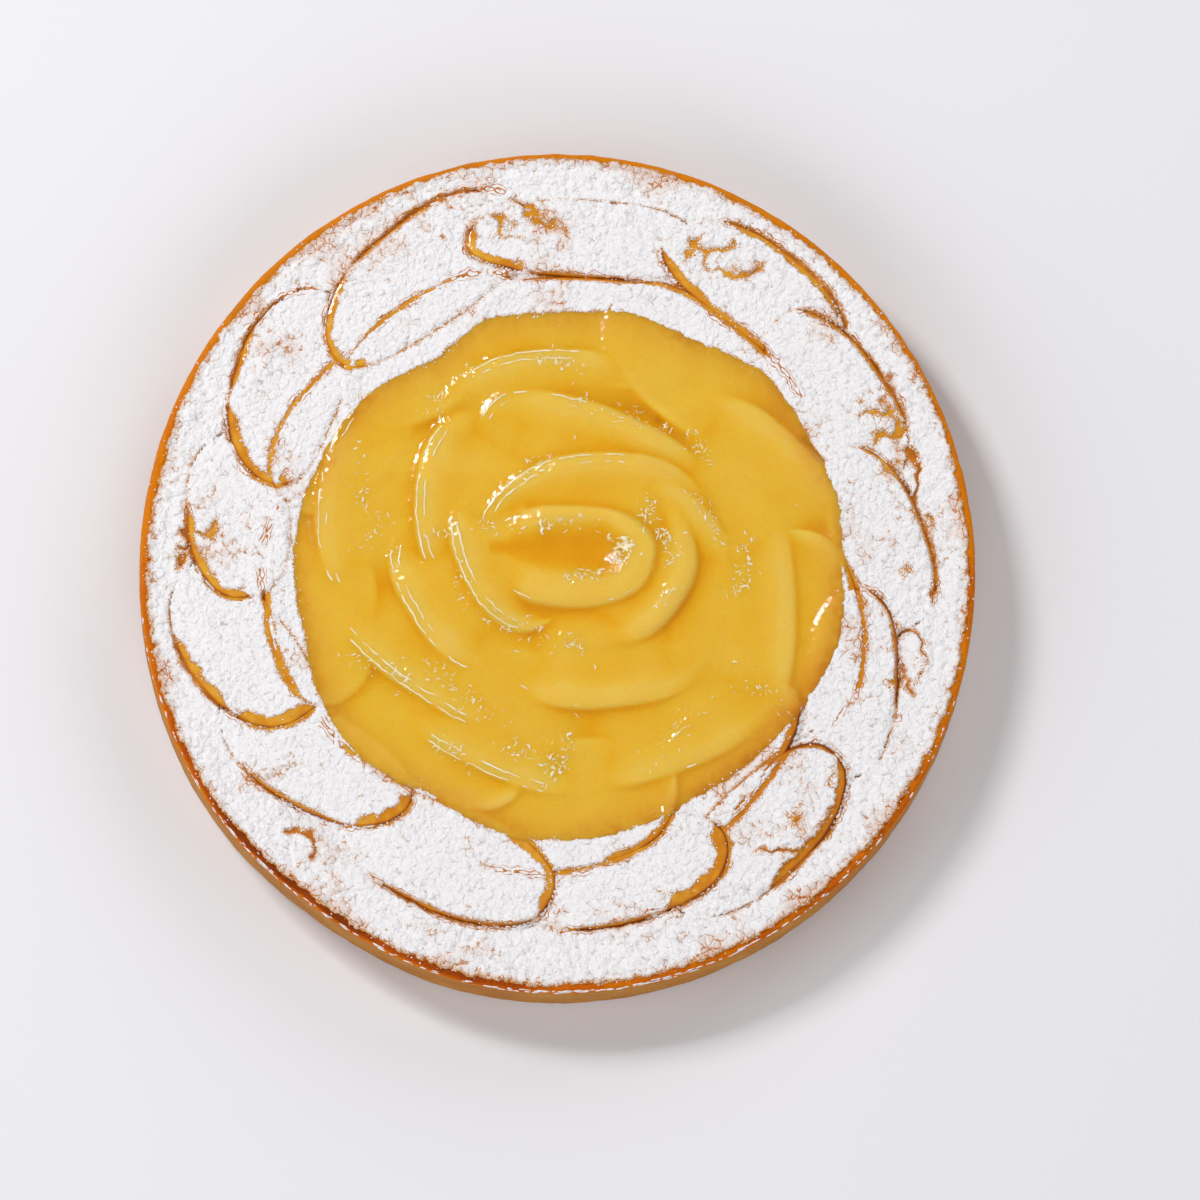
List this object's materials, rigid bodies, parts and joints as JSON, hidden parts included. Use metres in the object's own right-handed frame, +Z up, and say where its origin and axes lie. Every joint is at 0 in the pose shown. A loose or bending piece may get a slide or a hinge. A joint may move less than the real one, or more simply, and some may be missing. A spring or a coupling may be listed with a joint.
{
  "type": "pear tart",
  "caption": "Round straight-sided shortcrust tart with almond cream, overlapping baked pear slices around the edge and a rose of glazed pear slices in the middle.",
  "frame": {"origin": "middle of the underside of the crust, on the surface the tart stands on", "axes": "+Z up out of the top of the tart; +Y away from the viewer, +X to the viewer's right"},
  "size_m": [0.2816, 0.2864, 0.032],
  "materials": {
    "crust": "baked shortcrust pastry, matt, golden brown, darker at the rim",
    "cream": "baked almond cream, matt, dusted with icing sugar",
    "ring_pear": "baked pear flesh, browned at the edges, dusted with icing sugar",
    "rose_pear": "poached pear flesh, translucent, glossy syrup glaze"
  },
  "bodies": {
    "root": {"almond_cream": "cream", "curl_01": "rose_pear", "heart_01": "rose_pear", "inner_petal_01": "rose_pear", "inner_petal_02": "rose_pear", "inner_petal_03": "rose_pear", "inner_slice_01": "ring_pear", "inner_slice_02": "ring_pear", "inner_slice_03": "ring_pear", "inner_slice_04": "ring_pear", "inner_slice_05": "ring_pear", "inner_slice_06": "ring_pear", "inner_slice_07": "ring_pear", "inner_slice_08": "ring_pear", "inner_slice_09": "ring_pear", "middle_petal_01": "rose_pear", "middle_petal_02": "rose_pear", "middle_petal_03": "rose_pear", "middle_petal_04": "rose_pear", "middle_petal_05": "rose_pear", "outer_petal_01": "rose_pear", "outer_petal_02": "rose_pear", "outer_petal_03": "rose_pear", "outer_petal_04": "rose_pear", "outer_petal_05": "rose_pear", "outer_petal_06": "rose_pear", "outer_petal_07": "rose_pear", "outer_slice_01": "ring_pear", "outer_slice_02": "ring_pear", "outer_slice_03": "ring_pear", "outer_slice_04": "ring_pear", "outer_slice_05": "ring_pear", "outer_slice_06": "ring_pear", "outer_slice_07": "ring_pear", "outer_slice_08": "ring_pear", "outer_slice_09": "ring_pear", "outer_slice_10": "ring_pear", "outer_slice_11": "ring_pear", "outer_slice_12": "ring_pear", "outer_slice_13": "ring_pear", "tart_crust": "crust"}
  },
  "joints": []
}
